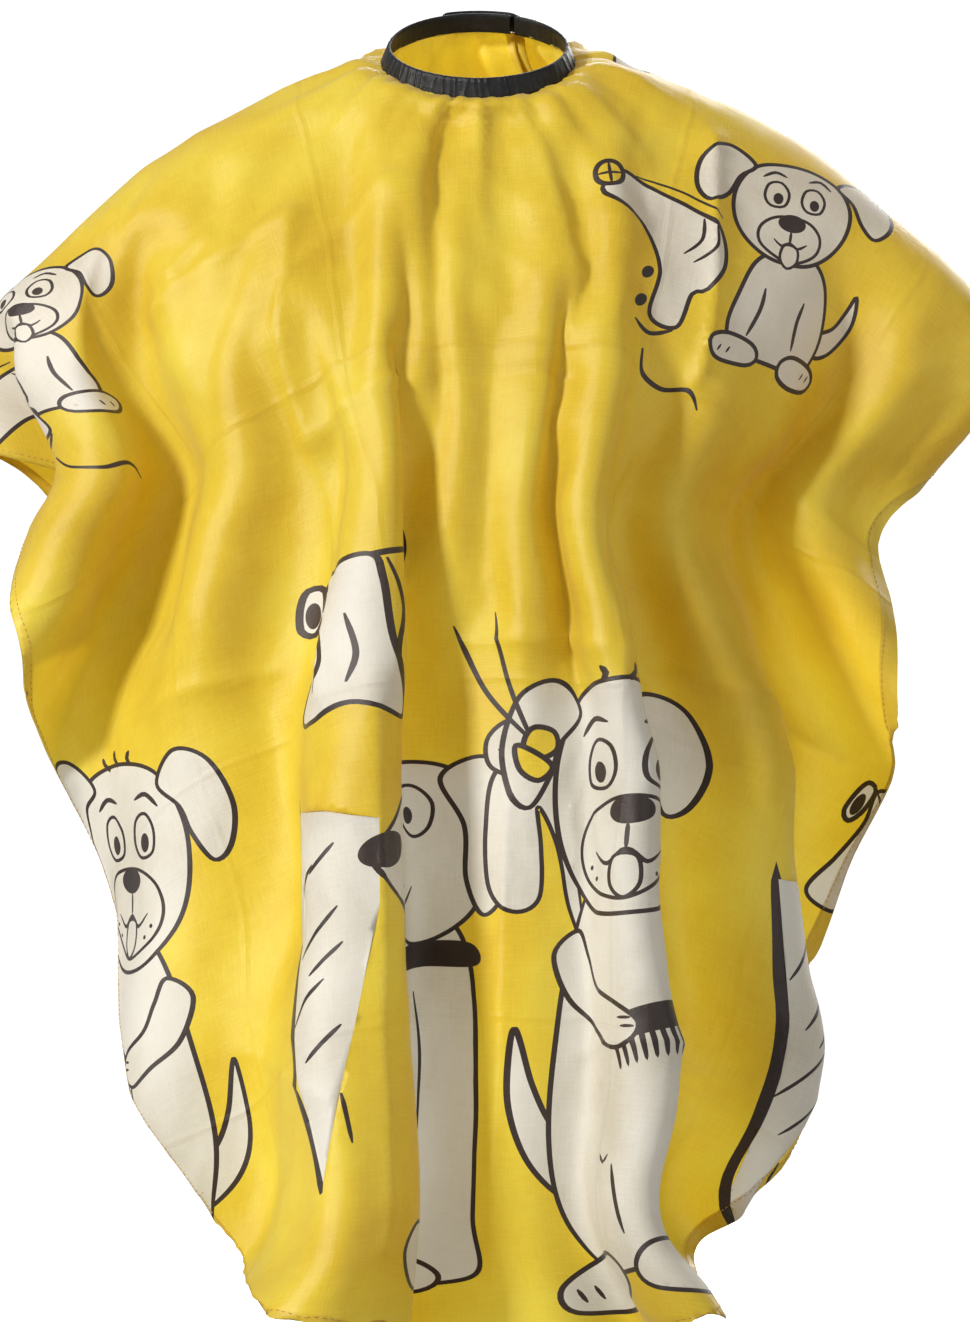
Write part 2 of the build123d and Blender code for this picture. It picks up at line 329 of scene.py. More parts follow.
def fit_outline(co):
    """Widens or narrows the hanging cloth level by level, so that its outline is the worn one."""
    z = co[:, 2]
    levels = np.linspace(-.83, -.17, 67)
    half_slab, narrowest, widest = .012, 0.68, 1.45
    reach = []
    for level in levels:
        slab = co[abs(z - level) < half_slab, 0]
        reach.append([-slab.min(), slab.max()] if len(slab) else [.15, .15])
    reach = np.array(reach)
    kernel = np.exp(-np.linspace(-2, 2, 7) ** 2)
    kernel /= kernel.sum()
    want = np.array(WORN)[::-1]
    out = co.copy()
    for side, sign in ((0, -1), (1, 1)):
        have = np.convolve(np.pad(reach[:, side], 3, mode="edge"), kernel, mode="valid")
        goal = np.interp(levels, want[:, 0], want[:, 1 + side])
        ratio = np.clip(goal / have, narrowest, widest)
        ratio = np.convolve(np.pad(ratio, 3, mode="edge"), kernel, mode="valid")
        f = np.interp(z, levels, ratio)
        f = 1 + (f - 1) * smooth01((-.16 - z) / .06)
        pick = co[:, 0] * sign > 0
        out[pick, 0] = co[pick, 0] * f[pick]
    return out


# Places where the printed panels hang calmer: across and up of the middle, half sizes, how much
CALM = [((-.215, -.62), (.10, .24), 1.0), ((.015, -.62), (.11, .24), .45), ((.19, -.15), (.09, .10), .4)]


def calm_folds(co, tris):
    """Relaxes the deepest folds of the front where CALM says."""
    passes, front_of = 160, .02
    edges = np.vstack([tris[:, [0, 1]], tris[:, [1, 2]], tris[:, [2, 0]]])
    edges = np.vstack([edges, edges[:, ::-1]])
    count = np.bincount(edges[:, 0], minlength=len(co))[:, None]
    share = np.zeros(len(co))
    for (x, z), (a, b), much in CALM:
        far = np.hypot((co[:, 0] - x) / a, (co[:, 2] - z) / b)
        share = np.maximum(share, much * smooth01((1.15 - far) / .5))
    share *= co[:, 1] < front_of
    out = co.copy()
    for _ in range(passes):
        total = [np.bincount(edges[:, 0], out[edges[:, 1], k], len(co)) for k in range(3)]
        out += (np.column_stack(total) / count - out) * share[:, None]
    return out


# ---------------- the drape as a map from flat to worn
class Drape:
    """Maps places of the flat cut to the worn cape, and back from a front view."""

    def __init__(self, flat, co, tris):
        self.co = co
        self.tris = tris
        self.flat = flat
        self.lookup = BVHTree.FromPolygons([(a, b, 0) for a, b in flat], tris.tolist())
        self.surface = BVHTree.FromPolygons([tuple(p) for p in co], tris.tolist())
        n = np.zeros_like(co)
        a, b, c = (co[tris[:, k]] for k in range(3))
        fn = np.cross(b - a, c - a)
        for k in range(3):
            np.add.at(n, tris[:, k], fn)
        n /= np.linalg.norm(n, axis=1)[:, None] + 1e-12
        front = n[np.argmin(co[:, 1])]
        self.normal = n if front[1] < 0 else -n
        self.flip = front[1] > 0

    def weights(self, points):
        """The triangle under each flat point, with its weights."""
        index, weight = np.zeros((len(points), 3), int), np.zeros((len(points), 3))
        for k, (u, v) in enumerate(points):
            where, _, tri, _ = self.lookup.find_nearest((u, v, 0))
            t = self.tris[tri]
            p = np.array(where[:2])
            a, b, c = self.flat[t]
            m = np.array([b - a, c - a]).T
            d = np.linalg.det(m)
            s, r = np.linalg.solve(m, p - a) if abs(d) > 1e-14 else (0, 0)
            index[k], weight[k] = t, (1 - s - r, s, r)
        return index, weight

    def at(self, points):
        """Worn points and normals for flat points."""
        index, weight = self.weights(points)
        pos = (self.co[index] * weight[:, :, None]).sum(1)
        nor = (self.normal[index] * weight[:, :, None]).sum(1)
        return pos, nor / (np.linalg.norm(nor, axis=1)[:, None] + 1e-12)

    def flat_at(self, x, z):
        """Flat point of the cloth seen from the front at a place across and up."""
        in_front = -2
        where, _, tri, _ = self.surface.ray_cast((x, in_front, z), (0, 1, 0))
        if tri is None:
            return None
        t = self.tris[tri]
        a, b, c = self.co[t]
        m = np.array([b - a, c - a]).T
        s = np.linalg.lstsq(m, np.array(where) - a, rcond=None)[0]
        fa, fb, fc = self.flat[t]
        return fa * (1 - s[0] - s[1]) + fb * s[0] + fc * s[1]


# ---------------- outline of the cut
def cut_outline(inset, spacing=0.004):
    """Closed outline of the cut as flat points, round the hem and in along the slit and neck hole."""
    end, back = CUT_FRONT - inset, -CUT_BACK + inset
    side = [(cut_half_width(v) - inset, v) for v in np.linspace(back, CUT_FRONT, 400)]
    side = [(w, v) for w, v in side if w > 0 and v < end]
    if side[-1][0] > .02:
        side.append((side[-1][0], end))
    loop = side + [(-w, v) for w, v in reversed(side)]
    half_gap = 0.0006 + inset
    loop += [(SLIT_U - half_gap, back)]
    a0, a1 = (math.asin(min(1, max(-1, (SLIT_U + g) / CUT_HOLE))) for g in (-half_gap, half_gap))
    turn = np.linspace(a0, a1 - 2 * math.pi, 150)
    loop += [(CUT_HOLE * math.sin(t), -CUT_HOLE * math.cos(t)) for t in turn]
    loop += [(SLIT_U + half_gap, back)]
    loop = np.array(loop)
    ring = np.vstack([loop, loop[:1]])
    seg = np.hypot(*np.diff(ring, axis=0).T)
    out = []
    for k in range(len(loop)):
        n = max(1, int(round(seg[k] / spacing)))
        out += [ring[k] + (ring[k + 1] - ring[k]) * i / n for i in range(n)]
    return np.array(out)


# ---------------- drawing of the print, in millimetres, y up
def spline(points, closed, gap=2.2):
    """Catmull-Rom curve through points, sampled about every gap."""
    p = np.array(points, float)
    n = len(p)
    out = []
    for k in range(n if closed else n - 1):
        if closed:
            a, b, c, d = (p[(k + i - 1) % n] for i in range(4))
        else:
            a, b, c, d = p[max(k - 1, 0)], p[k], p[k + 1], p[min(k + 2, n - 1)]
        m = max(2, int(np.hypot(*(c - b)) / gap))
        for i in range(m):
            t = i / m
            square, cube = 2 * a - 5 * b + 4 * c - d, 3 * b - a - 3 * c + d
            out.append(0.5 * (2 * b + (c - a) * t + square * t * t + cube * t ** 3))
    if not closed:
        out.append(p[-1])
    return np.array(out)


def shifted(loop, by):
    """Closed loop moved outward by a distance."""
    d = np.roll(loop, -1, 0) - np.roll(loop, 1, 0)
    d /= np.hypot(*d.T)[:, None] + 1e-9
    side = np.column_stack([d[:, 1], -d[:, 0]]) * (1 if signed_area(loop) > 0 else -1)
    return loop + side * by


def turned(loop, x, z, scale, turn, mirror):
    """A drawn loop in metres, turned and moved to x, z, with z upwards."""
    q = loop * (-1 if mirror else 1, 1) * scale / 1000
    t = math.radians(turn)
    return np.column_stack([x + q[:, 0] * math.cos(t) - q[:, 1] * math.sin(t),
                            z + q[:, 0] * math.sin(t) + q[:, 1] * math.cos(t)])


class Drawing:
    """Collects filled shapes in drawing order."""

    def __init__(self):
        self.shapes = []

    def blob(self, points, width=2.6, fill="white"):
        """A filled round shape with an inked outline."""
        loop = spline(points, True)
        self.shapes.append((shifted(loop, width / 2), "ink"))
        self.shapes.append((shifted(loop, -width / 2), fill))

    def patch(self, points, fill="ink"):
        """A filled round shape without an outline."""
        self.shapes.append((spline(points, True, 1.8), fill))

    def line(self, points, start=1.0, end=1.0, middle=2.6):
        """An inked stroke, by its widths at both ends and in the middle."""
        path = spline(points, False)
        d = np.gradient(path, axis=0)
        d /= np.hypot(*d.T)[:, None] + 1e-9
        t = np.linspace(0, 1, len(path))
        w = np.interp(t, [0, .25, .75, 1], [start, middle, middle, end]) / 2
        side = np.column_stack([-d[:, 1], d[:, 0]]) * w[:, None]
        self.shapes.append((np.vstack([path + side, (path - side)[::-1]]), "ink"))

    def dot(self, x, y, rx, ry=None, turn=0, fill="ink"):
        """A filled oval, turned by degrees."""
        ry = ry or rx
        a = np.linspace(0, 2 * math.pi, max(10, int(4 * max(rx, ry))), endpoint=False)
        t = math.radians(turn)
        px, py = rx * np.cos(a), ry * np.sin(a)
        across, up = px * math.cos(t) - py * math.sin(t), px * math.sin(t) + py * math.cos(t)
        self.shapes.append((np.column_stack([x + across, y + up]), fill))

    def worn(self, drape, x, z, scale=1.0, turn=0, mirror=False):
        """The shapes moved onto the cut, to show at a place of the worn cape seen from the front."""
        place = (x, z, scale, turn, mirror)
        every = np.vstack([loop for loop, _ in self.shapes])
        low, high = every.min(0), every.max(0)
        rows = np.linspace(low[1], high[1], 15)
        grid = np.array([(a, b) for a in np.linspace(low[0], high[0], 9) for b in rows])
        pairs = [(spot, drape.flat_at(*spot)) for spot in turned(grid, *place)]
        seen, cut = (np.array(k) for k in zip(*(p for p in pairs if p[1] is not None)))
        middle, target = seen.mean(0), cut.mean(0)
        m = np.linalg.lstsq(seen - middle, cut - target, rcond=None)[0]
        a, sizes, b = np.linalg.svd(m)
        m = a @ np.diag(np.clip(sizes, .85, 1.6)) @ b
        return [((turned(loop, *place) - middle) @ m + target, fill) for loop, fill in self.shapes]

    def placed(self, x, y, scale=1.0, turn=0, mirror=False):
        """The shapes moved onto the cut: x, y are flat metres, y of the drawing points up the worn cape."""
        return [(turned(loop, x, -y, scale, turn, mirror) * (1, -1), fill) for loop, fill in self.shapes]


def puppy_sitting():
    """A plain puppy, sitting, about 105 wide and 160 high, standing on y = 0."""
    d = Drawing()
    d.blob([(36, 16), (49, 22), (56, 40), (52, 58), (49, 48), (44, 36), (33, 28)])
    d.blob([(-26, 4), (-34, 18), (-30, 40), (-22, 62), (-8, 72), (12, 72), (26, 60), (34, 38), (36, 18),
            (28, 4), (2, 2)])
    d.blob([(-40, 0), (-42, 8), (-32, 13), (-14, 10), (-8, 3), (-14, -3), (-32, -4)])
    d.blob([(12, -2), (10, 6), (18, 11), (36, 9), (44, 3), (40, -4), (24, -6)])
    d.line([(-20, 14), (-15, 32), (-14, 46)])
    d.line([(14, 14), (12, 30), (14, 44)])
    for x in (-36, -30, 31, 37):
        d.line([(x, 1), (x + 1.5, 5)], .8, .8, 1.6)
    d.blob([(-30, 76), (-38, 92), (-37, 112), (-26, 128), (-2, 134), (20, 128), (31, 112), (32, 92),
            (24, 76), (8, 66), (-14, 66)])
    d.blob([(-28, 128), (-44, 138), (-58, 128), (-60, 108), (-52, 96), (-42, 104), (-36, 118)])
    d.blob([(22, 128), (38, 140), (54, 130), (57, 110), (50, 97), (40, 104), (32, 118)])
    d.blob([(-20, 74), (-22, 86), (-12, 95), (6, 95), (16, 86), (14, 74), (-2, 66)], 2.0)
    d.dot(-3, 92, 8.5, 6)
    d.line([(-3, 86), (-3, 79)], 1.2, 1.2, 1.8)
    d.line([(-13, 80), (-8, 76), (-3, 79), (2, 76), (8, 80)], .8, .8, 2)
    d.blob([(-6, 77), (-8, 68), (-3, 62), (3, 67), (2, 76)], 1.8)
    for x in (-14, 8):
        d.blob([(x - 7, 108), (x - 5, 117), (x + 2, 119), (x + 7, 112), (x + 5, 103), (x - 3, 102)], 1.8)
        d.dot(x + 1, 107.5, 3, 4)
    d.line([(-23, 121), (-16, 126), (-9, 124)], .8, .8, 2.2)
    d.line([(4, 124), (11, 127), (18, 122)], .8, .8, 2.2)
    return d


def puppy_standing():
    """A plain tall dog upright with a comb, about 130 wide and 370 high."""
    d = Drawing()
    d.blob([(48, 60), (66, 84), (74, 120), (70, 160), (64, 128), (56, 104), (44, 88)])
    d.blob([(-44, 30), (-52, 80), (-50, 130), (-42, 180), (-30, 220), (-6, 238), (22, 230), (42, 196),
            (54, 140), (56, 90), (48, 40), (28, 14), (-20, 12)])
    d.blob([(-58, 0), (-62, 14), (-48, 26), (-22, 24), (-8, 12), (-12, 0), (-34, -5)])
    d.blob([(6, 0), (4, 14), (18, 24), (42, 22), (62, 12), (60, -2), (34, -6)])
    for x in (-52, -43, 46, 54):
        d.line([(x, 2), (x + 2, 10)], .9, .9, 2.2)
    d.line([(-8, 30), (-4, 52), (0, 70)], .9, .9)
    d.line([(4, 76), (8, 72), (12, 77)], .8, .8, 2)
    d.blob([(-42, 232), (-50, 262), (-48, 300), (-34, 330), (-4, 340), (26, 332), (42, 304), (44, 266),
            (36, 234), (16, 212), (-20, 212)])
    d.blob([(-30, 326), (-46, 344), (-64, 338), (-72, 310), (-68, 284), (-58, 278), (-48, 296), (-42, 314)])
    d.blob([(26, 326), (38, 346), (56, 342), (66, 316), (64, 290), (56, 280), (46, 296), (40, 312)])
    for a, b in (((-13, 337), (-19, 345)), ((-4, 339), (-8, 349)), ((5, 339), (5, 348))):
        d.line([a, ((a[0] + b[0]) / 2 - 2, (a[1] + b[1]) / 2), b], 2.8, .9, 2.8)
    d.blob([(-30, 238), (-34, 256), (-20, 272), (4, 274), (24, 264), (30, 246), (22, 228), (-4, 218)], 2.2)
    d.dot(-3, 267, 11, 8)
    d.line([(-3, 259), (-3, 246)], 1.4, 1.2, 2.4)
    d.line([(-22, 246), (-13, 238), (-3, 245), (8, 238), (18, 246)], .9, .9, 2.6)
    d.blob([(-8, 241), (-10, 226), (-2, 218), (6, 226), (4, 241)], 2.2)
    for x in (-17, 13):
        d.blob([(x - 9, 290), (x - 7, 304), (x + 2, 308), (x + 9, 298), (x + 8, 284), (x - 3, 281)], 2.2)
        d.dot(x + 1, 290, 4, 6)
    for x, y in ((-20, 232), (-25, 239), (17, 231), (22, 238)):
        d.dot(x, y, 1.4)
    d.line([(-30, 312), (-20, 319), (-10, 316)], .9, .9, 3)
    d.line([(6, 317), (16, 320), (26, 312)], .9, .9, 3)
    d.patch([(-36, 150), (-38, 163), (8, 151), (6, 138)])
    for k in range(9):
        x, y = -34 + 4.7 * k, 151 - 1.28 * k
        d.patch([(x, y), (x + 2.4, y - .6), (x - 1.2, y - 17), (x - 2.8, y - 16)])
    d.blob([(50, 196), (44, 168), (26, 150), (8, 136), (-4, 138), (-8, 148), (2, 158), (22, 172),
            (30, 190), (36, 206)])
    d.line([(-6, 146), (2, 147)], .8, .8, 1.8)
    d.line([(-4, 151), (4, 152)], .8, .8, 1.8)
    return d


def puppy_seated_side():
    """A plain long-nosed dog, seen from the side, sitting upright, about 130 wide and 380 high."""
    d = Drawing()
    d.blob([(-52, 4), (-62, 26), (-52, 44), (-34, 40), (-28, 20), (-34, 4)])
    d.blob([(-28, 8), (-34, 60), (-32, 130), (-30, 190), (-14, 232), (12, 236), (26, 200), (32, 120),
            (34, 50), (34, 10)])
    d.blob([(-30, 2), (-34, 14), (-20, 24), (6, 20), (20, 10), (14, 0), (-10, -4)])
    d.line([(2, 34), (-4, 90), (-2, 150), (-8, 190)])
    d.blob([(-30, 140), (-40, 154), (-34, 172), (-20, 176), (-14, 160), (-20, 144)])
    d.line([(-33, 150), (-25, 148)], .8, .8, 1.8)
    d.line([(-35, 157), (-26, 156)], .8, .8, 1.8)
    d.patch([(-26, 214), (-2, 222), (24, 222), (28, 208), (0, 206), (-24, 202)])
    d.blob([(-66, 262), (-70, 280), (-58, 296), (-44, 316), (-24, 332), (6, 334), (26, 316), (32, 282),
            (26, 246), (8, 226), (-14, 220), (-34, 232), (-52, 246)])
    d.blob([(6, 326), (26, 340), (42, 322), (48, 288), (42, 256), (30, 240), (20, 262), (18, 296)])
    d.dot(-62, 280, 14, 11, 25)
    d.line([(-56, 250), (-40, 242), (-22, 246), (-12, 256)], .9, .9, 2.8)
    d.blob([(-40, 242), (-46, 226), (-38, 210), (-28, 214), (-26, 238)], 2.2)
    d.blob([(-44, 298), (-42, 314), (-30, 320), (-20, 310), (-20, 294), (-32, 286)], 2.2)
    d.blob([(-22, 300), (-20, 316), (-8, 320), (2, 310), (0, 294), (-10, 288)], 2.2)
    d.dot(-34, 299, 4, 5.5)
    d.dot(-13, 301, 4, 5.5)
    d.line([(-42, 326), (-30, 332), (-18, 329)], .9, .9, 2.6)
    for x, y in ((-44, 256), (-38, 262), (-32, 255)):
        d.dot(x, y, 1.4)
    return d


def raised_arm():
    """An arm held up with its paw at the top, about 45 wide and 110 high."""
    d = Drawing()
    d.blob([(-13, -16), (-19, -50), (-17, -86), (-4, -100), (10, -92), (11, -62), (9, -38), (20, -60),
            (28, -100), (40, -120), (30, -60), (20, -20), (14, -8)])
    d.blob([(-16, -14), (-18, 2), (-8, 13), (8, 15), (18, 4), (16, -12), (2, -20)])
    d.line([(-12, -4), (-3, 2), (6, -2)], .9, .9, 2.2)
    d.line([(-6, 10), (2, 6), (10, 8)], .9, .9, 2.2)
    return d


def scissors():
    """Open scissors, about 80 wide and 95 high."""
    d = Drawing()
    d.line([(-58, 60), (-30, 26), (2, 4)], .8, 2.4, 3.2)
    d.line([(-36, 74), (-16, 34), (6, 2)], .8, 2.4, 3.2)
    d.blob([(2, 2), (6, 10), (18, 10), (22, 0), (14, -8), (4, -6)], 3.4, "cloth")
    d.blob([(-2, -4), (4, -18), (16, -22), (22, -12), (12, -6)], 3.4, "cloth")
    return d


def hair_dryer():
    """A plain hair dryer pointing up to the left with its cord, about 65 wide and 155 high."""
    d = Drawing()
    d.blob([(-22, 62), (-26, 52), (-4, 28), (4, 2), (-2, -26), (14, -34), (22, -14), (30, -12), (40, 4),
            (38, 26), (22, 44), (0, 60), (-14, 68)])
    d.line([(-6, 66), (14, 58), (30, 46), (40, 34)], .8, .8, 1.6)
    d.dot(-22, 66, 9, 10)
    d.dot(-22, 66, 6, 7, 0, "cloth")
    d.line([(-22, 73), (-22, 59)], 1, 1, 1.8)
    d.line([(-28, 66), (-16, 66)], 1, 1, 1.8)
    d.line([(18, 12), (28, 20), (30, 34)], .8, .8, 2)
    d.line([(23, 6), (35, 14), (36, 28)], .8, .8, 2)
    d.dot(-4, 0, 4.5, 3.6, 30)
    d.dot(-8, -17, 4.5, 3.6, 30)
    d.line([(-12, -28), (-2, -37), (12, -36)], 1, 1)
    d.line([(-6, -46), (-4, -60), (10, -70), (28, -72), (38, -84)], 1.6, .8)
    return d


def towel_rail():
    """A towel hanging on a rail, about 90 wide and 120 high."""
    d = Drawing()
    d.blob([(34, 52), (38, 64), (47, 66), (52, 54), (49, 40), (40, 36)], 3.6)
    d.dot(42, 50, 4.5, 8)
    d.line([(38, 48), (8, 38), (-34, 24)], 2, 2, 3.6)
    d.blob([(-38, 22), (-34, 32), (-26, 30), (-26, 14), (-31, 4), (-38, 8)], 3.6)
    d.dot(-32, 16, 4, 8)
    d.blob([(-24, 30), (-8, 36), (12, 40), (16, 26), (18, -8), (24, -52), (4, -48), (-14, -56),
            (-32, -50), (-24, -20), (-20, 8)], 3)
    d.line([(18, 38), (24, 10), (20, -20), (26, -50)], 1, 1)
    d.line([(-12, -2), (-8, -22), (-12, -40)], .9, .9, 2.2)
    d.line([(2, 6), (6, -18), (3, -36)], .9, .9, 2.2)
    d.line([(-24, 30), (-14, 22), (-12, 10)], .9, .9, 2.2)
    return d


def mirror():
    """A plain hand mirror, about 55 wide and 235 high."""
    d = Drawing()
    d.patch([(-29, 114), (-25, 116), (-14, 30), (-4, -50), (8, -114), (4, -118), (-8, -56), (-19, 20)])
    glass = [(-26, 115), (27, 112), (28, 60), (22, -20), (8, -116), (-4, -50), (-15, 30)]
    d.shapes.append((np.array(glass, float), "white"))
    for x, y, s in ((-8, 66, 1.0), (2, 38, 1.2), (8, 22, .8), (0, -6, 1.1), (10, -30, .9), (4, 84, .7)):
        d.line([(x - 8 * s, y - 14 * s), (x + 8 * s, y + 14 * s)], .7, .7, 2.0)
    d.line([(17, -60), (21, -90)], 1, .7, 2)
    return d


def comb():
    """A plain comb, about 70 wide and 30 high."""
    d = Drawing()
    d.patch([(-34, 6), (-34, 16), (34, 16), (34, 6)])
    for k in range(13):
        x = -31 + k * 5
        d.patch([(x, 8), (x + 2.6, 8), (x + 2.2, -14), (x + .6, -14)])
    return d


def printed_shapes(drape):
    """All motifs placed on the flat cut, from where they show on the worn cape (across, up, in metres)."""
    plan = [
        (puppy_sitting(), .180, -.206, .98, -13, False),
        (hair_dryer(), .110, -.150, 1.0, 0, False),
        (puppy_sitting(), -.252, -.252, .90, 24, True),
        (hair_dryer(), -.292, -.256, .95, 62, False),
        (towel_rail(), -.083, -.378, 1.05, 0, False),
        (puppy_standing(), -.224, -.806, 1.02, 0, False),
        (mirror(), -.094, -.603, 1.0, 0, False),
        (puppy_seated_side(), -.016, -.788, .98, 0, False),
        (raised_arm(), .027, -.446, 1.05, 0, False),
        (puppy_standing(), .084, -.800, 1.12, 0, True),
        (scissors(), .026, -.444, 1.0, -14, False),
        (mirror(), .187, -.650, 1.0, -8, False),
        (towel_rail(), .262, -.515, .95, -30, False),
    ]
    shapes = []
    for drawing, x, z, scale, turn, mirrored in plan:
        shapes += drawing.worn(drape, x, z, scale, turn, mirrored)
    # the same pieces repeat where the cloth turns out of sight
    for drawing, u, v, scale, turn, mirrored in (
            (puppy_sitting(), .14, -.12, .9, 180, False), (towel_rail(), -.14, -.18, 1.0, 178, False),
            (comb(), .34, -.16, 1.0, 150, False), (hair_dryer(), -.33, -.15, 1.0, 175, False),
            (puppy_sitting(), -.16, -.12, .9, 176, False)):
        shapes += drawing.placed(u, v, scale, turn, mirrored)
    return shapes


# ---------------- materials
class Shading:
    """One material, with short ways to add nodes to it."""

    def __init__(self, name, color, rough=0.5, sheen=0.0):
        self.mat = bpy.data.materials.new(name)
        self.mat.use_nodes = True
        self.nodes, self.links = self.mat.node_tree.nodes, self.mat.node_tree.links
        self.shader = self.nodes["Principled BSDF"]
        self.set(self.shader, {"Base Color": (*color, 1), "Roughness": rough})
        if sheen:
            self.set(self.shader, {"Sheen Weight": sheen, "Sheen Roughness": 0.4})

    def set(self, node, values):
        """Gives sockets of a node a constant, or links them to an output."""
        for key, value in values.items():
            if isinstance(value, bpy.types.NodeSocket):
                self.links.new(value, node.inputs[key])
            else:
                node.inputs[key].default_value = value

    def add(self, kind, values, **settings):
        """A new node with its settings and sockets."""
        node = self.nodes.new("ShaderNode" + kind)
        for key, value in settings.items():
            setattr(node, key, value)
        self.set(node, values)
        return node

    def math(self, op, a, b=0.0, clamp=False):
        """Result of a sum between outputs or constants."""
        return self.add("Math", {0: a, 1: b}, operation=op, use_clamp=clamp).outputs[0]

    def sum(self, a, b):
        return self.math("ADD", a, b)

    def times(self, a, b, clamp=False):
        return self.math("MULTIPLY", a, b, clamp)

    def ramp(self, fac, stops):
        """Colour by a value of 0..1, with stops of (position, colour)."""
        node = self.add("ValToRGB", {0: fac})
        elements = node.color_ramp.elements
        while len(elements) < len(stops):
            elements.new(0.5)
        for element, (at, color) in zip(elements, stops):
            element.position, element.color = at, (*color, 1)
        return node.outputs[0]

    def noise(self, place, scale, detail=3, stretch=(1, 1, 1)):
        """Soft noise of 0..1 over a place, stretched along its axes."""
        mapped = self.add("Mapping", {0: place, "Scale": stretch}).outputs[0]
        return self.add("TexNoise", {"Vector": mapped, "Scale": scale, "Detail": detail}).outputs["Fac"]

    def bump(self, height, strength):
        """Relief in metres, also given to the shader."""
        node = self.add("Bump", {"Strength": strength, "Distance": 1.0, "Height": height})
        self.set(self.shader, {"Normal": node.outputs[0]})
        return node.outputs[0]


# Folds pressed in by the packing, as lines on the flat cut: (along u or v, position, how sharp)
PRESSED = [
    ("v", .245, 1.0), ("v", .455, 0.8), ("v", .665, 0.8), ("u", -.118, 0.8), ("u", .138, 0.8),
    ("u", -.295, 0.6), ("u", .318, 0.6), ("v", -.12, .8)]


def pressed_lines(m, place, u, v):
    """Height 0..1 of the pressed folds, a little wavy and worn away in places; it also sets the painted shade
    along them.
    """
    wobble = m.times(m.math("SUBTRACT", m.noise(place, 14, 2), 0.5), 0.010)
    ridge = None
    for axis, at, strength in PRESSED:
        off = m.math("ABSOLUTE", m.math("SUBTRACT", m.sum(u if axis == "u" else v, wobble), at))
        near = m.times(m.math("SUBTRACT", 1.0, m.math("DIVIDE", off, 0.0035, True)), strength)
        ridge = near if ridge is None else m.math("MAXIMUM", ridge, near)
    return m.times(ridge, m.times(m.noise(place, 22, 3), 1.5))


def cloth_material(name, dark, mid, light, rough, through, through_dark, through_light):
    """Thin satin-faced cloth: slubs, a fine weave, pressed fold lines raised as relief and darkened by
    painted shade, and light that comes through.
    """
    m = Shading(name, mid, rough, 0.25)
    place = m.add("UVMap", {}, uv_map="flat").outputs[0]
    u, v = m.add("SeparateXYZ", {0: place}).outputs[:2]
    slub = m.sum(m.noise(place, 60, 3, (1, 14, 1)), m.noise(place, 60, 3, (14, 1, 1)))
    tone = m.sum(m.times(m.noise(place, 9, 4), 0.7), m.times(slub, 0.15))
    colour = m.ramp(tone, [(0.36, dark), (0.5, mid), (0.64, light)])
    ridge = pressed_lines(m, place, u, v)
    # painted shade: the colour goes darker along the pressed fold lines
    fold_shade_mix = m.add("Mix", {}, data_type="RGBA")
    m.set(fold_shade_mix, {"Factor": m.times(ridge, 0.35, True), "A": colour, "B": (*dark, 1)})
    m.set(m.shader, {"Base Color": fold_shade_mix.outputs["Result"]})
    # weave of a plain cloth with threads about half a millimetre apart, then wrinkles, slubs and folds
    pitch = 2 * math.pi / 0.0006
    weave = m.times(m.math("SINE", m.times(u, pitch)), m.math("SINE", m.times(v, pitch)))
    height = m.sum(m.times(weave, 0.00003), m.times(m.noise(place, 20, 3), 0.0016))
    height = m.sum(height, m.times(slub, 0.00016))
    height = m.sum(height, m.times(ridge, 0.0007))
    normal = m.bump(height, 0.9)
    behind = m.ramp(tone, [(0.36, through_dark), (0.64, through_light)])
    back = m.add("BsdfTranslucent", {"Color": behind, "Normal": normal})
    mix = m.add("MixShader", {0: through, 1: m.shader.outputs[0], 2: back.outputs[0]})
    m.set(m.nodes["Material Output"], {"Surface": mix.outputs[0]})
    return m.mat


def tape_material(name, dark, light, rough=0.55, rib=0.0008):
    """Narrow woven tape with fine ribs across it and a soft sheen."""
    m = Shading(name, light, rough, 0.03)
    place = m.add("TexCoord", {}).outputs["Object"]
    fine = m.noise(place, 260, 4)
    tone = m.sum(m.times(fine, .5), m.times(m.noise(place, 60, 3), .5))
    m.set(m.shader, {"Specular IOR Level": 0.3, "Base Color": m.ramp(tone, [(.35, dark), (.65, light)])})
    ribs = m.add("TexWave", {"Vector": place, "Scale": 0.05 / rib * 6.28, "Distortion": 1.5, "Detail": 2})
    m.bump(m.sum(m.times(ribs.outputs["Fac"], .00012), m.times(fine, .0005)), 0.7)
    return m.mat


def plastic_material(name, color):
    """Moulded plastic with a slightly uneven gloss."""
    m = Shading(name, color, 0.32)
    fine = m.noise(m.add("TexCoord", {}).outputs["Object"], 400, 4)
    m.set(m.shader, {"Roughness": m.ramp(fine, [(.3, (.26, .26, .26)), (.7, (.42, .42, .42))])})
    m.bump(m.times(fine, .00004), 0.3)
    return m.mat


yellow = cloth_material("cloth_yellow", (.70, .50, .030), (.82, .63, .048), (.88, .75, .090),
                        .36, .34, (.84, .50, .015), (.94, .68, .035))
white = cloth_material("print_white", (.66, .62, .52), (.78, .75, .67), (.84, .82, .76),
                       .48, .24, (.70, .62, .44), (.80, .74, .58))
ink = cloth_material("print_ink", (.020, .010, .007), (.032, .017, .012), (.050, .028, .020),
                     .45, .06, (.03, .015, .01), (.05, .03, .02))
hem_cloth = cloth_material("hem_yellow", (.68, .47, .030), (.80, .60, .050), (.86, .71, .085),
                           .38, .22, (.76, .44, .015), (.88, .58, .030))
binding_black = tape_material("binding_black", (.004, .004, .005), (.014, .014, .015), .42)
label_white = tape_material("label_white", (.62, .60, .55), (.78, .76, .71), .6, .0005)
elastic_black = tape_material("elastic_black", (.02, .02, .02), (.05, .05, .05), .7, .001)
snap_black = plastic_material("snap_black", (.014, .014, .016))
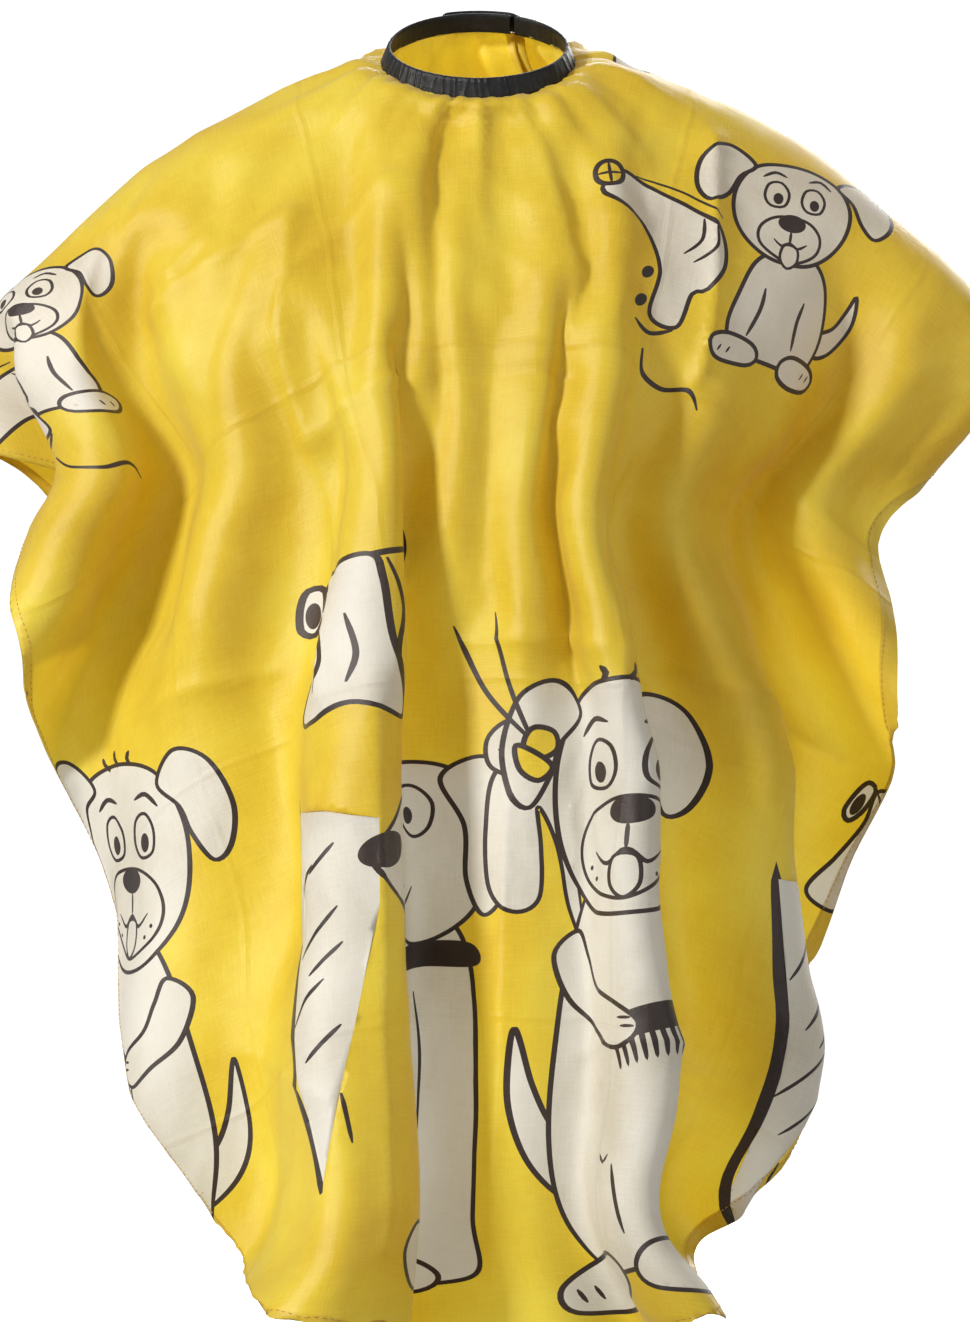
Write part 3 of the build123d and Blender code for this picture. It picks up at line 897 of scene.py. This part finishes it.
thread_black = tape_material("thread_black", (.010, .010, .011), (.035, .035, .038), .6, .0003)
thread_gold = tape_material("thread_gold", (.60, .36, .06), (.78, .52, .10), .6, .0003)
thread_pale = tape_material("thread_pale", (.58, .54, .44), (.74, .70, .60), .6, .0003)
MATERIALS = {"cloth": yellow, "white": white, "ink": ink, "hem": hem_cloth}


# ---------------- cape cloth
# Creases from handling, as they show on the worn cape: across and up of both ends, height and half width
CREASES = [
    ((-.302, -.365), (-.106, -.254), .0030, .016), ((-.106, -.254), (-.119, -.112), .0030, .014),
    ((-.106, -.254), (-.030, -.216), .0022, .014), ((-.030, -.216), (.065, -.213), -.0016, .010),
    ((-.208, -.178), (-.113, -.106), .0026, .014), ((.103, -.394), (.242, -.463), .0028, .016),
    ((-.011, -.381), (.103, -.413), .0020, .012), ((.090, -.413), (.103, -.254), .0026, .014),
    ((.150, -.060), (.138, -.217), .0045, .013), ((-.172, -.120), (-.200, -.150), .0022, .010),
    ((-.106, -.254), (-.098, -.420), .0024, .014), ((-.064, -.400), (-.060, -.760), .0038, .016),
    ((.138, -.217), (.250, -.330), .0022, .016), ((-.055, -.085), (-.120, -.150), .0022, .012),
    ((.040, -.060), (.060, -.190), .0022, .014), ((-.230, -.440), (-.120, -.400), .0018, .012),
    ((.160, -.560), (.230, -.600), .0020, .012), ((.020, -.480), (.012, -.780), .0026, .014),
    ((-.150, -.640), (-.060, -.680), .0016, .012), ((.060, -.640), (.160, -.660), .0016, .012),
]


def creased(drape, points):
    """Height of the creases at flat points."""
    lift = np.zeros(len(points))
    for a, b, high, wide in CREASES:
        a, b = drape.flat_at(*a), drape.flat_at(*b)
        if a is None or b is None:
            continue
        d = b - a
        along = ((points - a) @ d) / (d @ d)
        off = abs((points - a) @ np.array([-d[1], d[0]])) / np.hypot(*d)
        off = np.hypot(off, np.clip(abs(along - .5) - .5, 0, None) * np.hypot(*d))
        ends = smooth01(np.minimum(along + .12, 1.12 - along) / .2)
        lift += high * (1.2 * np.exp(-off / wide) + .8 * np.exp(-off / .0055)) * ends
    return lift


def gathered(points, r):
    """Height of the gathers and of the longer streaks that run out from the neck."""
    th = np.arctan2(points[:, 0], points[:, 1])
    out = r - CUT_HOLE
    gather = np.sin(53 * th + 1.3 * np.sin(5 * th)) * .6 + np.sin(31 * th + 2 * np.sin(3 * th) + 1) * .7
    gather += .9 * np.sin(17 * th + 2.2 * np.sin(4 * th)) * np.clip(out / .03, 0, 1)
    streak = np.sin(12 * th + 1.7 * np.sin(3 * th + 1)) + .6 * np.sin(21 * th + 2)
    lift = .0018 * gather * np.clip(out / .006, 0, 1) * np.exp(-out / .045)
    return lift + .0036 * streak * smooth01(out / .03) * np.exp(-out / .11)


def wrinkled(points, r):
    """Height of the small wrinkles all over, which fade out at the neck."""
    wrinkle, small, where = (
        np.array([field.noise((a * p, b * q, n)) for a, b in points])
        for p, q, n in ((9, 6, 1), (26, 20, 7), (4, 4, 3)))
    rough = .0060 * (.5 - abs(wrinkle)) + .0034 * (.5 - abs(small)) * smooth01(.4 + 1.8 * where)
    return smooth01((r - CUT_HOLE - .01) / .05) * rough


def lap_back_edges(drape, points, moved):
    """The two edges of the back opening lap over each other below the neck."""
    lap, clear = .003, .0009
    u, v = points[:, 0], points[:, 1]
    down = np.linspace(-CUT_HOLE, -CUT_BACK, 40)
    left, out_left = drape.at(np.column_stack([np.full_like(down, SLIT_U - .001), down]))
    right, _ = drape.at(np.column_stack([np.full_like(down, SLIT_U + .001), down]))
    gap = right - left
    for k in np.where((abs(u - SLIT_U) < .16) & (v < .02))[0]:
        across = np.array([np.interp(-v[k], -down, gap[:, c]) for c in range(3)])
        outer = np.array([np.interp(-v[k], -down, out_left[:, c]) for c in range(3)])
        wide = np.linalg.norm(across) + 1e-6
        close = math.exp(-abs(u[k] - SLIT_U) / .045)
        close *= float(smooth01((.27 + v[k]) / .14)) * float(smooth01((.03 - v[k]) / .05))
        side = 1 if u[k] < SLIT_U else -1
        moved[k] += side * (across / wide * (wide / 2 + lap) + outer * clear) * close


def tuck_neck_edge(points, r, moved):
    """The gathered edge sits inside the binding."""
    reach = .030
    for k in np.where(r < CUT_HOLE + reach)[0]:
        deg = 90 - math.degrees(math.atan2(points[k, 0], -points[k, 1]))
        radius, height = binding_place(deg, .5, -.80)
        away = neck_point(radius, deg, height) - pinned_neck(*points[k])
        moved[k] += np.array(away) * (1 - float(smooth01((r[k] - CUT_HOLE) / reach)))


def fine_detail(drape, points, pos, nor):
    """Gathers below the binding, creases and small wrinkles along the normals, and closed back edges."""
    r = np.hypot(points[:, 0], points[:, 1])
    lift = gathered(points, r) + creased(drape, points) + wrinkled(points, r)
    moved = pos + nor * lift[:, None]
    lap_back_edges(drape, points, moved)
    tuck_neck_edge(points, r, moved)
    return moved


def keep_flat(ob, flat):
    """Stores each point's place on the cut, for the weave, as a UV layer."""
    layer = ob.data.uv_layers.new(name="flat")
    corner = np.zeros(len(ob.data.loops), int)
    ob.data.loops.foreach_get("vertex_index", corner)
    layer.data.foreach_set("uv", flat[corner].ravel())


def beside_slit(points, side_of, reach):
    """The points, with those on the slit moved a little to their own side of it."""
    probe = points.copy()
    near = (abs(points[:, 0] - SLIT_U) < reach) & (points[:, 1] < 0)
    probe[near, 0] = SLIT_U + np.where(side_of[near, 0] < SLIT_U, -.0008, .0008)
    return probe


def cut_mesh(drape):
    """Triangles over the whole cut, with hem and print as areas. Returns flat points, faces and kinds."""
    loops = [(cut_outline(0.0), "hem"), (cut_outline(HEM), "cloth")]
    loops += printed_shapes(drape)
    verts, areas = [], []
    for loop, _ in loops:
        if signed_area(loop) < 0:
            loop = loop[::-1]
        areas.append(list(range(len(verts), len(verts) + len(loop))))
        verts += [tuple(p) for p in loop]
    gap, margin = 0.0048, .002
    rows = np.arange(-CUT_BACK + gap / 2, CUT_FRONT, gap * math.sqrt(3) / 2)
    for j, v in enumerate(rows):
        for u in np.arange(-CUT_HALF, CUT_HALF, gap) + (gap / 2 if j % 2 else 0):
            on_slit = abs(u - SLIT_U) < margin and v < 0
            if abs(u) < cut_half_width(v) - margin and math.hypot(u, v) > CUT_HOLE + margin and not on_slit:
                verts.append((u, v))
    points, _, tris, _, _, inside = geometry.delaunay_2d_cdt([Vector(p) for p in verts], [], areas, 0, 1e-6)
    flat = np.array([p[:] for p in points])
    kept = [(tri, loops[max(over)][1]) for tri, over in zip(tris, inside) if 0 in over]
    used = sorted({i for tri, _ in kept for i in tri})
    number = {k: i for i, k in enumerate(used)}
    return flat[used], [tuple(number[i] for i in tri) for tri, _ in kept], [kind for _, kind in kept]


def make_cape(drape):
    """The whole cut as one draped sheet."""
    flat, faces, kinds = cut_mesh(drape)
    pos, nor = drape.at(beside_slit(flat, flat, .002))
    if drape.flip:
        faces = [tri[::-1] for tri in faces]
    cape = link("cape_cloth", fine_detail(drape, flat, pos, nor), faces)
    for material in MATERIALS.values():
        cape.data.materials.append(material)
    names = list(MATERIALS)
    cape.data.polygons.foreach_set("material_index", [names.index(kind) for kind in kinds])
    keep_flat(cape, flat)
    return cape


def make_hem(drape):
    """The turned hem: a second layer inside the edge, all round the cut but the neck."""
    edge = cut_outline(0.0, .005)
    hole = np.hypot(edge[:, 0], edge[:, 1]) < CUT_HOLE + .004
    first = int(np.where(hole)[0].max()) + 1
    order = np.roll(np.arange(len(edge)), -first)
    order = [k for k in order if not hole[k]]
    path = edge[order]
    d = np.gradient(path, axis=0)
    d /= np.hypot(*d.T)[:, None] + 1e-9
    for _ in range(3):
        d[1:-1] = (d[:-2] + d[1:-1] * 2 + d[2:]) / 4
    d /= np.hypot(*d.T)[:, None] + 1e-9
    inward = np.column_stack([-d[:, 1], d[:, 0]])
    mid = path[len(path) // 2] + inward[len(path) // 2] * .02
    if abs(mid[0]) > cut_half_width(mid[1]) or mid[1] > CUT_FRONT or mid[1] < -CUT_BACK:
        inward = -inward
    verts, flats = [], []
    for across, lift in ((0.0, .00025), (.0003, .0012), (.004, .0011), (.0085, .0010), (HEM, .0004)):
        pts = path + inward * across
        pos, nor = drape.at(beside_slit(pts, path, .0012))
        verts.append(fine_detail(drape, pts, pos, nor) - nor * lift)
        flats.append(pts)
    hem = link("cape_hem", np.vstack(verts), grid_faces(len(verts), len(path)))
    hem.data.materials.append(hem_cloth)
    keep_flat(hem, np.vstack(flats))
    return hem, path, inward


def add_stitch(verts, faces, ends, normal, thread, sides, profile, lift=0.0):
    """Adds a bent capsule between two points. profile: (along, width, height) in units of the thread."""
    p, q = ends
    side = normal.cross((q - p).normalized())
    base = len(verts)
    for along, wide, high in profile:
        mid = p.lerp(q, along) + normal * (lift + thread * high)
        for j in range(sides):
            a = 2 * math.pi * j / sides
            verts.append(mid + (side * math.cos(a) + normal * math.sin(a)) * thread * wide)
    faces.extend(tube_faces(len(profile), sides, base))


def make_hem_stitches(drape, path, inward):
    """Short stitches in a line just inside the inner edge of the hem."""
    pitch, length, from_edge = .0042, .0026, .0015
    seg = np.hypot(*np.diff(path, axis=0).T)
    along = np.concatenate([[0], np.cumsum(seg)])
    starts = np.arange(.004, along[-1] - .004, pitch)
    ends = []
    for s in (starts, starts + length):
        p, q = (np.column_stack([np.interp(s, along, line[:, k]) for k in (0, 1)]) for line in (path, inward))
        row = p + q * (HEM - from_edge)
        pos, nor = drape.at(row)
        ends.append((fine_detail(drape, row, pos, nor), nor))
    verts, faces = [], []
    profile = ((0, .4, .0), (.25, 1, .9), (.75, 1, .9), (1, .4, .0))
    for a, b, normal in zip(ends[0][0], ends[1][0], ends[0][1]):
        if np.linalg.norm(b - a) <= .006:
            add_stitch(verts, faces, (Vector(a), Vector(b)), Vector(normal), THREAD, 4, profile, .0001)
    stitches = link("hem_stitches", verts, faces)
    stitches.data.materials.append(thread_gold)
    return stitches


# ---------------- sewn tapes
# Section of a folded tape: (across its thickness, along its height)
FACE = [(1, -.93), (1, -.62), (1, -.31), (1, 0), (1, .31), (1, .62), (1, .93), (.85, .985), (.5, 1),
        (.15, .985), (0, .93), (0, .5), (0, 0), (0, -.5), (0, -.93), (.15, -.985), (.5, -1), (.85, -.985)]


def tape(name, degs, place, material):
    """Closed strip round the neck. place(deg, s, h) gives the radius and height of a point of FACE."""
    verts = []
    for deg in degs:
        for s, h in FACE:
            radius, height = place(deg, s, h)
            verts.append(neck_point(radius, deg, height))
    ob = link(name, verts, tube_faces(len(degs), len(FACE)))
    face_outwards(ob)
    ob.data.materials.append(material)
    return ob


def away_from_back(deg):
    """Degrees round the neck from the middle of the back."""
    return abs((deg - 90 + 180) % 360 - 180)


def spread_puckers():
    """Places of the puckers round the binding: (angle, half width, height, lean)."""
    draw = random.Random(11)
    puckers, at = [], 132.0
    while at < 408:
        strong = 1.0 if 195 < at < 290 else .6
        puckers.append((at, draw.uniform(.7, 1.7), strong * draw.uniform(.35, 1.0), draw.uniform(-.5, .5)))
        at += draw.uniform(3.0, 8.5)
    return puckers


PUCKERS = spread_puckers()
ON_BINDING = .05702                 # radius just outside the binding at the back
STRAP_R = .0603                     # inner radius of the strap over the snaps
STRAP_TIP = 114.0                   # angle of its free end


def pucker(deg, h):
    """Height of the gathers of the binding at a place round it."""
    total = 0.0
    for at, wide, high, lean in PUCKERS:
        d = (deg - at - lean * h * 2.5) / wide
        if abs(d) < 3:
            total += high * math.exp(-d * d)
    return total


def binding_place(deg, s, h):
    """The binding widens and puckers downwards at the front, and stays round under the strap."""
    front = float(smooth01((away_from_back(deg) - 48) / 45))
    flare = front * (.0014 + .0052 * (1 - h) / 2)
    fold = pucker(deg, h)
    r = NECK_R + .002 * s + flare + s * front * fold * .0009
    low = .0004 * math.sin(math.radians(deg) * 23) + .0005 * math.sin(math.radians(deg) * 41 + 1)
    z = BAND_H / 2 * h - front * .0022 * (.5 + .5 * away_from_back(deg) / 180)
    if h < 0:
        z += front * h * (low - .0008 * fold)
    return r, z


def strap_path(deg):
    """Inner radius of the strap, from its root to the free end."""
    stops = [(50, ON_BINDING), (62.3, ON_BINDING), (64, .05745), (65.5, .0582), (67.5, .0595),
             (69.5, .06015), (72, STRAP_R), (130, STRAP_R)]
    return float(np.interp(deg, [a for a, _ in stops], [b for _, b in stops]))


def strap_place(deg, s, h):
    """The strap: thicker at its sewn root, rounded at its tip."""
    inner = sum(strap_path(deg + d) for d in (-.8, -.4, 0, .4, .8)) / 5
    free = float(smooth01((deg - 61) / 3))
    thick = .0016 - .0002 * free
    half = BAND_H / 2 * (1 - .077 * (1 - free))
    rounding = math.degrees(.006 / .061)
    end = (deg - STRAP_TIP + rounding) / rounding
    if end > 0:
        half *= math.sqrt(max(.02, 1 - end ** 2.4))
    return inner + thick * s, half * h


def stitch_thread(name, runs, material, length=.003, thread=.00021):
    """Short stitches along seams. runs is a list of (points, normals) along each seam."""
    verts, faces = [], []
    profile = ((0, .4, -.3), (.12, .9, .5), (.5, 1, .9), (.88, .9, .5), (1, .4, -.3))
    for points, normals in runs:
        for p, q, normal in zip(points, points[1:], normals):
            gap = (q - p).length
            if 1e-5 <= gap <= .012:
                q = p + (q - p) * min(1, length / gap)
                add_stitch(verts, faces, (p, q), normal.normalized(), thread, 6, profile)
    ob = link(name, verts, faces)
    ob.data.materials.append(material)
    return ob


def seam(place, a0, a1, h, pitch=.0044):
    """Points and normals of a seam on the outer face of a tape."""
    mean_radius = .0585
    count = int(math.radians(a1 - a0) * mean_radius / pitch)
    pts, nor = [], []
    for k in range(count + 1):
        deg = a0 + (a1 - a0) * k / count
        r, z = place(deg, 1, h)
        pts.append(neck_point(r, deg, z))
        nor.append(outward(deg))
    return pts, nor


def stud_tape_place(deg, s, h):
    """The stud tape lies flat on the outside of the binding."""
    return ON_BINDING + .00076 * s, .006 * h


def stud_seam_place(deg, s, h):
    """The thread just outside the stud tape."""
    return .0578, .006 * h


def make_binding():
    """Binding, stud tape, elastic and strap, with the thread that sews them."""
    half_gap = 1.7
    degs = np.arange(SLIT_DEG + half_gap, SLIT_DEG + 360 - half_gap + .1, .6)
    binding = tape("binding", degs, binding_place, binding_black)
    strip = tape("stud_tape", np.linspace(68.6, 112, 60), stud_tape_place, binding_black)
    elastic = tape("elastic", np.linspace(121, 410, 300),
                   lambda deg, s, h: binding_place(deg, .3 + .4 * s, .55 * h), elastic_black)
    strap_degs = [np.arange(50, 72, .35), np.arange(72, STRAP_TIP - 5, .7),
                  np.linspace(STRAP_TIP - 5, STRAP_TIP, 14)]
    strap = tape("strap", np.concatenate(strap_degs), strap_place, binding_black)
    runs = [seam(binding_place, 116, 408, -.72)]
    runs += [seam(stud_seam_place, 70.5, 110, h) for h in (.84, -.84)]
    runs += [seam(strap_place, 51.5, 61, h) for h in (.80, -.80)]
    threads = stitch_thread("binding_stitches", runs, thread_black)
    return binding, strip, elastic, strap, threads


def make_label():
    """Folded woven tape, blank, hanging from the seam of the binding inside the cape."""
    wide, drop, thick, slope = .028, .014, .0005, math.radians(30)
    out = outward(242)
    origin = out * .059 + UP * -.0117
    x_dir = UP.cross(out).normalized()
    z_dir = (out * math.sin(slope) + UP * math.cos(slope)).normalized()
    y_dir = z_dir.cross(x_dir)
    nx, ny = 28, 14
    verts = []
    for layer in (0, 1):
        for j in range(ny + 1):
            for i in range(nx + 1):
                a, b = i / nx * 2 - 1, j / ny
                x, y = wide / 2 * a, -drop * b
                curl = .0007 * b * b * (a * a - .3) + .00025 * math.sin(5 * a + 2 * b) * b
                edge = .5 if (i in (0, nx) or j == ny) else 1
                rise = curl - thick / 2 + (.5 - layer) * thick * edge
                verts.append(origin + x_dir * x + y_dir * y + z_dir * rise)
    n = (nx + 1) * (ny + 1)
    grid = grid_faces(ny + 1, nx + 1)
    faces = [f[::-1] for f in grid] + [tuple(k + n for k in f) for f in grid]
    rim = [i for i in range(nx + 1)] + [(j + 1) * (nx + 1) - 1 for j in range(1, ny + 1)]
    rim += [ny * (nx + 1) + i for i in range(nx - 1, -1, -1)] + [j * (nx + 1) for j in range(ny - 1, 0, -1)]
    faces += [(a, b, b + n, a + n) for a, b in zip(rim, rim[1:] + rim[:1])]
    ob = link("label", verts, faces)
    ob.data.materials.append(label_white)
    return ob


# ---------------- drape fitted
stand = make_stand()
flat, co, faces = simulate()
for part in stand:
    bpy.data.objects.remove(part)
flat, co, tris = subdivide(flat, co, faces)
drape = Drape(flat, calm_folds(fit_outline(co), tris), tris)

# ---------------- pieces
cape = make_cape(drape)
hem, edge, inward = make_hem(drape)
hem_thread = make_hem_stitches(drape, edge, inward)
binding, strip, elastic, strap, band_thread = make_binding()
label = make_label()

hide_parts("cape_panel")
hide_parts("neck_binding")
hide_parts("stud_strip")
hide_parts("neck_elastic")
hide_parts("overlap_root", "overlap_tab")
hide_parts("band_stitches")
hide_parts("care_label")
for piece in (cape, hem, hem_thread, binding, strip, elastic, band_thread):
    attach(piece, "cape")
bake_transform(strap)
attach(label, "label")

tri_flat = flat[tris]
edge_1, edge_2 = tri_flat[:, 1] - tri_flat[:, 0], tri_flat[:, 2] - tri_flat[:, 0]
flat_area = float(abs(edge_1[:, 0] * edge_2[:, 1] - edge_1[:, 1] * edge_2[:, 0]).sum() / 2)

FINISHES = {
    "cape_panel": yellow, "neck_elastic": elastic_black, "care_label": label_white,
    "label_stitches": thread_pale, "band_stitches": thread_black, "tab_stitches": thread_black}
for node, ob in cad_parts.items():
    finish = snap_black if node.startswith("snap") else FINISHES.get(node, binding_black)
    ob.data.materials.clear()
    ob.data.materials.append(finish)


# ---------------- floor and light
def backdrop():
    """Pale floor that curves up all round into a plain wall and a dome."""
    floor_z, wide, curve = -.92, 9.0, 1.6
    profile = [(0.0, floor_z), (wide - curve, floor_z)]
    profile += [(wide - curve * (1 - math.sin(t)), floor_z + curve * (1 - math.cos(t)))
                for t in np.linspace(.15, math.pi / 2, 10)]
    profile += [(wide * math.cos(t), 1.6 + 5.0 * math.sin(t)) for t in np.linspace(0, math.pi / 2 - .02, 14)]
    around = 64
    verts = [(r * math.cos(2 * math.pi * k / around), r * math.sin(2 * math.pi * k / around), z)
             for r, z in profile for k in range(around)]
    faces = [face[::-1] for face in tube_faces(len(profile), around)[:-2]]
    ob = link("backdrop", verts, faces)
    m = Shading("backdrop_pale", (.90, .90, .90), .9)
    m.set(m.shader, {"Emission Color": (1, 1, 1, 1), "Emission Strength": .78})
    ob.data.materials.append(m.mat)
    ob.visible_diffuse = ob.visible_transmission = ob.visible_shadow = ob.visible_glossy = False
    return ob


def lamp(name, place, aim, size, power, color=(1, 1, 1)):
    """Area lamp at a place, aimed at a point."""
    data = bpy.data.lights.new(name, "AREA")
    data.shape = "RECTANGLE"
    data.size, data.size_y = size
    data.energy = power
    data.color = color
    ob = bpy.data.objects.new(name, data)
    scene.collection.objects.link(ob)
    ob.location = place
    ob.rotation_euler = (Vector(aim) - Vector(place)).to_track_quat("-Z", "Y").to_euler()
    return ob


backdrop()
lamp("key", (-2.4, -1.9, 1.0), (0, 0, -.4), (.5, .5), 108, (1, .98, .95))
lamp("fill", (2.2, -2.2, .2), (0, 0, -.5), (1.6, 1.6), 15)
lamp("behind", (.6, 1.7, .4), (0, 0, -.4), (1.6, 1.6), 48)
world = bpy.data.worlds.new("studio")
world.use_nodes = True
world.node_tree.nodes["Background"].inputs["Color"].default_value = (1, 1, 1, 1)
world.node_tree.nodes["Background"].inputs["Strength"].default_value = .35
scene.world = world
